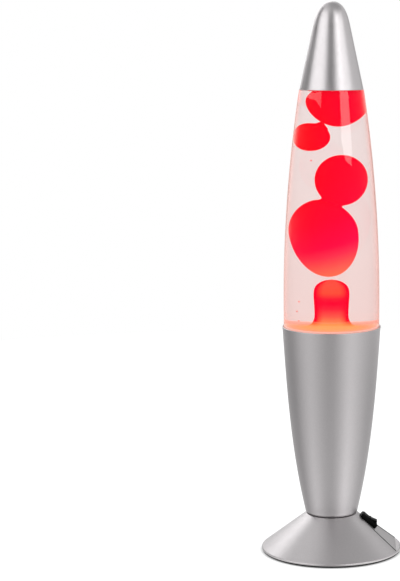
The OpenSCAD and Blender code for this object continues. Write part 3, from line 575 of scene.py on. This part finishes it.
def paint_pool_wax_glow():
    """Painted glow of the bulb's light: salmon on the pool, orange where the column leaves it, red above and
    orange again in its head.
    """
    made, tree, shader, place = wax_base("wax_hot")
    level = vectors(tree, "MULTIPLY", place, (1.0, 1.0, 0.0), output="Vector")
    reach = vectors(tree, "LENGTH", level)
    pool = ramp(tree, reach, stops_from(0.0, POOL_TINTS))
    height = along(tree, place, "Z")
    lit = ramp(tree, height, stops_from(pool_z, COLUMN_TINTS))
    # The painted glow shows towards the front and the back, and the column's sides stay red
    share = maths(tree, "DIVIDE", along(tree, place, "Y"), reach)
    glow = mapped(tree, maths(tree, "MULTIPLY", share, share), FRONT_RANGE)
    column = mixed(tree, glow, COLUMN_SIDE, lit)
    above = mapped(tree, height, (pool_z + COLUMN_START, pool_z + COLUMN_FULL))
    paint_wax_glow(tree, shader, mixed(tree, above, pool, column))
    return made


finishes = {name: textured(name, *values) for name, values in TEXTURES.items()}
finishes.update({
    "silver_paint": silver_paint(),
    "bulb_glass": reflector_glass(),
    "bottle_glass": clear("bottle_glass", GLASS_TINTS, GLASS_IOR, 1.0, GLASS_EDGE_PAINTED_PINK, GLASS_SHEEN),
    "wetted_glass": clear("wetted_glass", GLASS_TINTS, GLASS_IOR / LIQUID_IOR),
    "liquid": clear("liquid", LIQUID_TINTS, NO_IOR),
    "wax_red": red_wax(),
    "wax_hot": paint_pool_wax_glow(),
})

# Nodes that keep their shape
NODE_FINISHES = {
    "silver_paint": ["foot_shell"],
    "black_plastic": ["bottom_cover"],
    "black_gloss": ["bulb_insulator"],
    "black_rubber": ["rubber_feet", "cord_grommet"],
    "zinc_steel": ["cover_screws", "cover_bracket", "nipple_nut", "nipple_washer", "terminal_screws"],
    "white_plastic": ["lampholder_base", "lampholder_insert", "lampholder_sleeve", "terminal_block"],
    "brass": ["lampholder_shell", "centre_contact", "switch_terminals"],
    "bulb_metal": ["bulb_contact", "filament"],
    "bulb_glass": ["bulb_glass"],
    "stem_glass": ["bulb_stem"],
    "seal": ["closure_seal"],
    "lead_brown": ["live_lead"],
    "lead_black": ["switched_lead"],
    "lead_blue": ["neutral_lead"],
}
for finish, names in NODE_FINISHES.items():
    for name in names:
        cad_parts[name].data.materials.clear()
        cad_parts[name].data.materials.append(finishes[finish])


def dress(piece, node, body, finish):
    """The piece takes a finish, rides on a body and stands for a node, where one is named."""
    piece.data.materials.append(finishes[finish])
    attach(piece, body)
    if node:
        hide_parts(node)
    return piece


# Cup

def cup_outline():
    corner_z = foot_top + CUP_CORNER
    floor_r = CUP_BASE_R - CUP_CORNER
    heights = levels(corner_z, rim_z - CUP_BEAD, 80)
    bead_r = cup_out(rim_z) - CUP_SHEET + CUP_BEAD
    return ([(CUP_HOLE_R, foot_top)]
            + arc(floor_r, corner_z, CUP_CORNER, -90, 0, 12)
            + [(cup_out(z), z) for z in heights[1:]]
            + arc(bead_r, rim_z - CUP_BEAD, CUP_BEAD, -20, 180, 14)
            + [(cup_out(z) - CUP_SHEET, z) for z in reversed(heights[:-1])]
            + arc(floor_r, corner_z, CUP_CORNER - CUP_SHEET, 0, -90, 10)[1:]
            + [(CUP_HOLE_R, foot_top + CUP_SHEET)])


dress(lathe("cup", cup_outline(), loop=True), "cup_shell", "base", "silver_paint")


# Cap

def cap_outline():
    cone_top = tip_z - CAP_TIP_H
    slope = (mouth_r - CAP_TIP_R) / (cone_top - ledge_z)
    edge_z = ledge_z + CAP_EDGE
    cone = [(mouth_r - slope * (z - ledge_z), z) for z in levels(edge_z, cone_top, 24)]
    tip = bezier((CAP_TIP_R, cone_top), (CAP_TIP_R - slope * CAP_TIP_LEAN, cone_top + CAP_TIP_LEAN),
                 (CAP_TIP_FLAT, tip_z), (0.0, tip_z), 40)
    outside = cone + tip[1:]
    inside = [p for p in beside(outside, CAP_SHEET) if p[1] > ledge_z + 2 * CAP_SHEET]
    lip_r = mouth_r - CAP_LIP
    edge = arc(mouth_r - CAP_EDGE, edge_z, CAP_EDGE, -90, -10, 5)
    return [(lip_r, ledge_z + CAP_SHEET), (lip_r, ledge_z)] + edge + outside + inside[::-1]


dress(lathe("cap", cap_outline(), loop=True), "top_cap", "cap", "silver_paint")


# Bottle

collar_r = mouth_r - CAP_LIP - COLLAR_GAP
floor_z = bottle_z + BOTTLE_FLOOR


def neck_side(inset):
    """The blend from the collar to the neck, as (radius, height) points."""
    wide_r = collar_r - COLLAR_STEP
    start, end = ledge_z + COLLAR_H, closure_z - NECK_BELOW_CLOSURE
    shape = [(0.5 + 0.5 * math.cos(math.pi * s), start + (end - start) * s) for s in levels(0, 1, 24)]
    return [(neck_r + (wide_r - neck_r) * share - inset, z) for share, z in shape]


def bore(inset, low, high):
    """The inside wall between two heights, moved in by the inset."""
    return [(bottle_in(z) - inset, z) for z in levels(low, high, 100)]


def bottle_outline():
    side_z = bottle_z + BOTTLE_CORNER
    corner_r = bottle_out(side_z) - BOTTLE_CORNER
    dish_r = corner_r - DISH_INSET
    under = [(dish_r * s, bottle_z + DISH_DEPTH * (1 - s * s)) for s in levels(0, 1, 12)]
    corner = arc(corner_r, side_z, BOTTLE_CORNER, -90, 0, 14)
    seat = [(bottle_out(z), z) for z in levels(side_z, rim_z, 30)]
    shown = [(bottle_out(z), z) for z in levels(rim_z + BOTTLE_BAND, ledge_z - LEDGE_ROUND, 100)]
    ledge = arc(mouth_r + LEDGE_PROUD - LEDGE_ROUND, ledge_z - LEDGE_ROUND, LEDGE_ROUND, 12, 90, 8)
    mouth_edge = [(neck_r, neck_top - MOUTH_EDGE), (neck_r - MOUTH_EDGE, neck_top)]
    mouth = mouth_edge + [(neck_r - BOTTLE_WALL, neck_top)]
    outside = under + corner + seat[1:] + shown + ledge + [(collar_r, ledge_z)] + neck_side(0) + mouth
    turn = BOTTLE_CORNER - BOTTLE_WALL
    inner_corner = arc(bottle_in(floor_z + turn) - turn, floor_z + turn, turn, 0, -90, 10)
    wall = bore(0, floor_z + turn, ledge_z - INNER_TURN)
    inside = neck_side(BOTTLE_WALL)[::-1] + wall[::-1] + inner_corner[1:] + [(0.0, floor_z)]
    return outside + inside


bottle = dress(lathe("glass_bottle", bottle_outline()), "bottle", "bottle", "bottle_glass")
# The inner face bends light less where the liquid wets it
bottle.data.materials.append(finishes["wetted_glass"])
for face in bottle.data.polygons:
    inwards = face.normal.x * face.center.x + face.normal.y * face.center.y < 0
    if inwards and floor_z < face.center.z < liquid_top:
        face.material_index = 1


# Liquid: it reaches a little way into the glass, so that no air shows between them

def liquid_outline():
    foot_z = pool_z - LIQUID_BELOW_POOL
    neck = [p for p in neck_side(BOTTLE_WALL - LIQUID_SINK) if p[1] < liquid_top]
    return ([(0.0, foot_z)] + bore(-LIQUID_SINK, foot_z, ledge_z - INNER_TURN) + neck
            + [(neck[-1][0], liquid_top), (0.0, liquid_top)])


dress(lathe("liquid_fill", liquid_outline()), "liquid", "bottle", "liquid")


# Wax

WAX_PIECES = {"wax_pair": "wax_red", "wax_blob": "wax_red", "wax_top": "wax_red", "wax_pool": "wax_hot"}
# The small blob is just leaving the wax at the top: two balls make the thin neck that joins them
NECK_BALLS = [(Vector((-5.7, -0.6, 319.9)) * MM, 2.4 * MM), (Vector((-3.9, -0.6, 316.8)) * MM, 2.3 * MM)]
for name, finish in WAX_PIECES.items():
    joined = NECK_BALLS if name == "wax_blob" else ()
    melted = worked("molten_" + name, name, WAX_VOXEL, WAX_ROUNDS, finer=1, joined=joined)
    dress(melted, name, "bottle", finish)


def lip_outline():
    """The pool's edge where it climbs the glass."""
    wall_r = bottle_in(pool_z) - WAX_GAP
    shares = levels(LIP_EDGE_SHARE, 1, 10)
    hollow = [(wall_r - LIP_REACH * s, pool_z + LIP_H * (1 - s) ** 3) for s in shares]
    low = pool_z - LIP_DEPTH
    return [(wall_r, low), (wall_r, pool_z + LIP_H)] + hollow + [(wall_r - LIP_REACH, low)]


dress(lathe("wax_lip", lip_outline(), loop=True), None, "bottle", "wax_hot")

# Places of the specks, in mm
SPECKS = [(-17.6, 0, 190), (-19.3, -2, 183), (-17, 3, 175.5), (-11.4, -4, 294)]
bm = bmesh.new()
balls(bm, [(Vector(place) * MM, SPECK_R) for place in SPECKS])
dress(finish_mesh("wax_specks", bm), None, "bottle", "wax_red")


def coil_path():
    path = []
    for s in levels(0, 1, COIL_CURLS * CURL_STEPS):
        around, curl = (math.tau - COIL_OPEN) * s, math.tau * COIL_CURLS * s
        r = COIL_RING_R + COIL_CURL_R * math.cos(curl)
        path.append((r * math.cos(around), r * math.sin(around), coil_z + COIL_CURL_R * math.sin(curl)))
    return path


dress(tube("coiled_wire", [coil_path()], COIL_WIRE_R), "wire_coil", "bottle", "zinc_steel")


# Switch

dress(worked("switch_bezel", "switch_housing", *BEZEL_SOFT), "switch_housing", "base", "black_gloss")
dress(worked("rocker_key", "switch_rocker", *ROCKER_SOFT), "switch_rocker", "rocker", "black_gloss")


# Foot: painted shade, a dark line along the edge between its cone and the switch's flat

def flat_edge(side):
    """Points where the flat cuts the cone, from beside the switch down to the rim."""
    cone = math.atan2(foot_top - CONE_OUT[1], CONE_OUT[0] - WAIST_R)
    fall, steep = math.tan(cone), math.tan(cone + FLAT_STEEPER)
    flat_x = FLAT_AT_R - FLAT_DEPTH
    flat_z = foot_top - (FLAT_AT_R - WAIST_R) * fall
    share = flat_z + flat_x * steep - foot_top - WAIST_R * fall
    path = []
    for r in levels(FLAT_AT_R, CONE_OUT[0] - CREASE_SHORT, 40):
        turn = side * math.acos((share / r + fall) / steep)
        sunk = foot_top - (r - WAIST_R) * fall - CREASE_SUNK
        path.append((r * math.cos(turn), r * math.sin(turn), sunk))
    return path


# A dark tube on each side of the flat, as painted shade along the crease
dress(tube("painted_crease_line", [flat_edge(-1), flat_edge(1)], CREASE_R), None, "base", "crease_painted_shade")


# Screw threads and the closure's grip

def threaded(node, body, finish, pitch, depth):
    """A plain screw's shape with a thread cut into its side."""
    low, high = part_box(node)
    bore_r = high.x - depth - THREAD_WALL
    start_z = low.z + THREAD_START
    fade_h = THREAD_FADE_PITCHES * pitch
    heights = levels(start_z, high.z, round((high.z - low.z) / pitch * RINGS_PER_PITCH))

    def groove(angle, r, z):
        if r <= bore_r:
            return 0.0
        fade = min(1.0, (z - low.z) / fade_h, (high.z - z) / fade_h)
        return -depth * max(fade, 0.0) * (0.5 + 0.5 * math.cos(math.tau * z / pitch - angle))

    outline = [(bore_r, start_z)] + [(high.x, z) for z in heights] + [(bore_r, high.z)]
    screw = lathe(node + "_thread", outline, loop=True, steps=THREAD_STEPS, shape=groove)
    dress(screw, node, body, finish)


threaded("bulb_cap", "bulb", "bulb_metal", *BULB_THREAD)
threaded("threaded_nipple", "base", "zinc_steel", *NIPPLE_THREAD)


def closure_outline():
    low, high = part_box("bottle_closure")
    inside_r = neck_r + CLOSURE_GAP
    round_z = high.z - CLOSURE_ROUND
    under_z = high.z - CLOSURE_TOP
    grip = [(high.x, z) for z in levels(low.z, round_z, 4)]
    turn = arc(high.x - CLOSURE_ROUND, round_z, CLOSURE_ROUND, 0, 90, 8)
    return [(inside_r, low.z)] + grip + turn[1:] + [(0.0, high.z), (0.0, under_z), (inside_r, under_z)]


def grip_rib(angle, r, z):
    on_side = r > closure_r - RIB_TOUCH and z > closure_z + RIB_START
    return -RIB_DEPTH * (0.5 - 0.5 * math.cos(CLOSURE_RIBS * angle)) if on_side else 0.0


rib_turns = CLOSURE_RIBS * RIB_STEPS
closure = lathe("ribbed_closure", closure_outline(), loop=True, steps=rib_turns, shape=grip_rib)
dress(closure, "bottle_closure", "bottle", "white_plastic")


# Camera, at the photograph's angle and framing: its tilt in degrees, its sensor and lens in mm

CAMERA_PLACE = (0.0, -1.350, 0.395)
CAMERA_DOWN = 8
CAMERA_SENSOR = 36.0
CAMERA_LENS = 113.8
CAMERA_SHIFT = (-0.2263, -0.0181)

camera = placed("camera", bpy.data.cameras.new("camera"))
camera.location = CAMERA_PLACE
camera.rotation_euler = (math.radians(90 - CAMERA_DOWN), 0.0, 0.0)
camera.data.sensor_width = CAMERA_SENSOR
camera.data.lens = CAMERA_LENS
camera.data.shift_x, camera.data.shift_y = CAMERA_SHIFT
bpy.context.scene.camera = camera


# Studio: azimuth 0 is to the camera and 90 to the photo's right, in degrees

LAMP_CENTRE = Vector((0.0, 0.0, 0.22))
WORLD_LEVEL = 0.75

# Floor: its tone for light that it sends back and for rays that see it, and its own light for those
FLOOR_R = 1.0
FLOOR_TONE = 0.86
FLOOR_SEEN_TONE = 0.3
FLOOR_LIGHT = 0.8
FOOT_GAP = 3 * MM

# Cards on the table: (azimuth, level) and (distance, share of the level)
TABLE_R = 0.95
TABLE_Z = 0.5 * MM
TABLE_LEVELS = [(-180, 0.8), (-125, 0.6), (-105, 0.48), (-85, 0.74), (-55, 1.14), (-25, 0.77), (0, 0.63),
                (20, 0.84), (45, 1.42), (70, 1.05), (110, 0.66), (180, 0.8)]
TABLE_REACHES = [(0.05, 1.18), (0.2, 1.05), (0.5, 0.88), (0.7, 0.96), (TABLE_R, 1.25)]

# Lights and cards: name, azimuth, elevation, distance, width and height, radiance
SOFTBOXES = [
    ("softbox_left", -57, 30, 1.5, (2.0, 1.1), 1.3),
    ("softbox_right", 47, 30, 1.5, (1.7, 1.1), 1.25),
    ("strip_right", 39, 30, 1.4, (0.2, 1.0), 1.6),
    ("softbox_back", -152, 29, 1.5, (1.4, 1.15), 1.45),
]
CARDS = [
    ("card_front", -2.5, 20, 1.2, (0.77, 1.4), 0.2),
    ("card_left", -106, 20, 1.4, (0.75, 1.6), 0.2),
    ("card_left_low", -128, 2, 1.4, (1.0, 0.7), 0.3),
    ("card_back_right", 158, 6, 1.4, (0.9, 0.8), 0.62),
    ("card_top", 90, 72, 1.3, (1.6, 1.4), 0.59),
]

# Room: dark on the camera's side, with a rear wall that gives the glass its soft pink edges
ROOM_R = 1.0
ROOM_H = 1.2
ROOM_ABOVE_FLOOR = 2 * MM
ROOM_Z = ROOM_H / 2 + ROOM_ABOVE_FLOOR
ROOM_DARK = grey(0.08)
ROOM_REAR = colour(1.2, 1.0, 1.0)
ROOM_TINTS = [(-180, ROOM_REAR), (-140, colour(1.9, 1.1, 1.05)), (-115, ROOM_DARK), (115, ROOM_DARK),
              (140, colour(1.7, 0.65, 0.6)), (180, ROOM_REAR)]
ROOM_HEIGHTS = [(0.02, 0.5), (0.2, 0.6), (0.32, 1.0), (0.5, 1.0)]

# Windows, just inside the room: name, corners as (azimuth, height), radiance
WINDOW_R = 0.9
WINDOWS = [
    ("window_right", [(29, 0.75), (29, 0.45), (38.4, 0.4), (55.5, 0.374), (60, 0.4), (61, 0.75)], 3.4),
    ("window_left", [(-90, 0.75), (-90, 0.482), (-75, 0.503), (-42, 0.527), (-35, 0.523), (-35, 0.75)], 2.2),
]


def seen_white(tree):
    """1 for rays that show the background: from the camera, a gloss or a transmission."""
    path = add(tree, "LightPath", {})
    first = maths(tree, "MAXIMUM", path.outputs["Is Camera Ray"], path.outputs["Is Glossy Ray"])
    return maths(tree, "MAXIMUM", first, path.outputs["Is Transmission Ray"])


def make_world():
    world = bpy.data.worlds.new("studio")
    world.use_nodes = True
    tree = world.node_tree
    level = mapped(tree, seen_white(tree), end=(WORLD_LEVEL, 1.0))
    fill(tree, tree.nodes["Background"], {"Color": grey(1.0), "Strength": level})
    bpy.context.scene.world = world


def unshaded(name):
    """A material without a shader, and its tree."""
    made = bpy.data.materials.new(name)
    made.use_nodes = True
    tree = made.node_tree
    tree.nodes.remove(tree.nodes["Principled BSDF"])
    return made, tree


def surface(tree, shader):
    fill(tree, tree.nodes["Material Output"], {"Surface": shader.outputs[0]})


def emitting(name, tint_of, for_glass=False):
    """A material that only sends out light, either to the silver or to the glass.

    A ray that the clear glass mirrors is singular, and one from a satin surface isn't.
    tint_of makes the light's colour in the new tree.
    """
    made, tree = unshaded(name)
    path = add(tree, "LightPath", {})
    share = path.outputs["Is Singular Ray"]
    light = add(tree, "Emission", {"Color": tint_of(tree)})
    none = add(tree, "BsdfTransparent", {})
    first, second = light, none
    if for_glass:
        # Only what the outer face mirrors counts, before a ray has passed into the glass
        first, second = none, light
        outer = maths(tree, "LESS_THAN", path.outputs["Transmission Depth"], 0.5)
        share = maths(tree, "MULTIPLY", share, outer)
    surface(tree, add(tree, "MixShader", {0: share, 1: first.outputs[0], 2: second.outputs[0]}))
    return made


def disc(name, radius, z):
    bm = bmesh.new()
    bmesh.ops.create_circle(bm, cap_ends=True, segments=STAGE_STEPS, radius=radius)
    piece = finish_mesh(name, bm)
    piece.location.z = z
    return piece


def make_floor():
    """Pale paper that shows white and keeps the lamp's shadow."""
    floor = disc("floor", FLOOR_R, 0.0)
    made, tree = unshaded("pale_floor")
    seen = seen_white(tree)
    paper = add(tree, "BsdfDiffuse", {"Color": mapped(tree, seen, end=(FLOOR_TONE, FLOOR_SEEN_TONE))})
    # Painted shade: the floor's own light fades with ambient occlusion, so the narrow gap under the foot
    # stays dark
    painted_gap_shade = add(tree, "AmbientOcclusion", {"Distance": FOOT_GAP}, samples=8).outputs["AO"]
    strength = maths(tree, "MULTIPLY", mapped(tree, seen, end=(0.0, FLOOR_LIGHT)), painted_gap_shade)
    light = add(tree, "Emission", {"Color": grey(1.0), "Strength": strength})
    surface(tree, add(tree, "AddShader", {0: paper.outputs[0], 1: light.outputs[0]}))
    floor.data.materials.append(made)


def only_reflected(piece):
    for ray in ("camera", "diffuse", "transmission", "shadow", "volume_scatter"):
        setattr(piece, "visible_" + ray, False)


def by_azimuth(tree, place, stops):
    """A colour round the lamp: stops are (azimuth, colour) over the full turn."""
    # The texture runs from 0 to 1 round +Z. Turned like this, 0.5 is the camera's side
    turned = add(tree, "VectorRotate", {"Vector": place, "Angle": math.pi / 2}, rotation_type="Z_AXIS")
    share = add(tree, "TexGradient", {"Vector": turned.outputs["Vector"]}, gradient_type="RADIAL")
    return ramp(tree, share.outputs["Fac"], [(a / 360 + 0.5, tint) for a, tint in stops])


def greys(stops):
    return [(at, grey(level)) for at, level in stops]


def make_table_cards():
    """Light and dark cards that lie round the lamp."""
    def tint_of(tree):
        place = place_of(tree)
        outwards = ramp(tree, vectors(tree, "LENGTH", place), greys(TABLE_REACHES))
        return mixed(tree, 1.0, by_azimuth(tree, place, greys(TABLE_LEVELS)), outwards, "MULTIPLY")

    cards = disc("table_cards", TABLE_R, TABLE_Z)
    cards.data.materials.append(emitting("table_cards", tint_of))
    only_reflected(cards)


def make_room():
    """Walls that only the glass mirrors."""
    def tint_of(tree):
        place = place_of(tree)
        heights = [(at - ROOM_Z, share) for at, share in ROOM_HEIGHTS]
        upwards = ramp(tree, along(tree, place, "Z"), greys(heights))
        return mixed(tree, 1.0, by_azimuth(tree, place, ROOM_TINTS), upwards, "MULTIPLY")

    bm = bmesh.new()
    bmesh.ops.create_cone(bm, segments=STAGE_STEPS, radius1=ROOM_R, radius2=ROOM_R, depth=ROOM_H)
    walls = finish_mesh("room", bm)
    walls.location.z = ROOM_Z
    walls.data.materials.append(emitting("room", tint_of, for_glass=True))
    only_reflected(walls)


def towards(azimuth, elevation):
    """Direction from the lamp."""
    a, e = math.radians(azimuth), math.radians(elevation)
    return Vector((math.sin(a) * math.cos(e), -math.cos(a) * math.cos(e), math.sin(e)))


def facing(thing, azimuth, elevation, distance):
    thing.location = LAMP_CENTRE + towards(azimuth, elevation) * distance
    thing.rotation_euler = towards(azimuth, elevation).to_track_quat("Z", "Y").to_euler()


def softbox(name, azimuth, elevation, distance, size, radiance):
    lamp = bpy.data.lights.new(name, "AREA")
    lamp.shape = "RECTANGLE"
    lamp.size, lamp.size_y = size
    lamp.energy = radiance * math.pi * size[0] * size[1]
    box = placed(name, lamp)
    facing(box, azimuth, elevation, distance)
    box.visible_camera = False
    box.visible_transmission = False


def card(name, azimuth, elevation, distance, size, radiance):
    """A grey card that only the silver mirrors."""
    bm = bmesh.new()
    bmesh.ops.create_grid(bm, x_segments=1, y_segments=1, size=0.5)
    bmesh.ops.scale(bm, vec=(size[0], size[1], 1), verts=bm.verts)
    piece = finish_mesh(name, bm)
    piece.data.materials.append(emitting(name, lambda tree: grey(radiance)))
    facing(piece, azimuth, elevation, distance)
    only_reflected(piece)


def window(name, corners, radiance):
    """A lit pane that only the glass mirrors."""
    bm = bmesh.new()
    places = [towards(azimuth, 0) * WINDOW_R + Vector((0, 0, z)) for azimuth, z in corners]
    bm.faces.new([bm.verts.new(place) for place in places])
    piece = finish_mesh(name, bm)
    piece.data.materials.append(emitting(name, lambda tree: grey(radiance), for_glass=True))
    only_reflected(piece)


make_world()
make_floor()
make_table_cards()
for values in SOFTBOXES:
    softbox(*values)
for values in CARDS:
    card(*values)
make_room()
for values in WINDOWS:
    window(*values)

bpy.context.scene.view_settings.view_transform = "Standard"
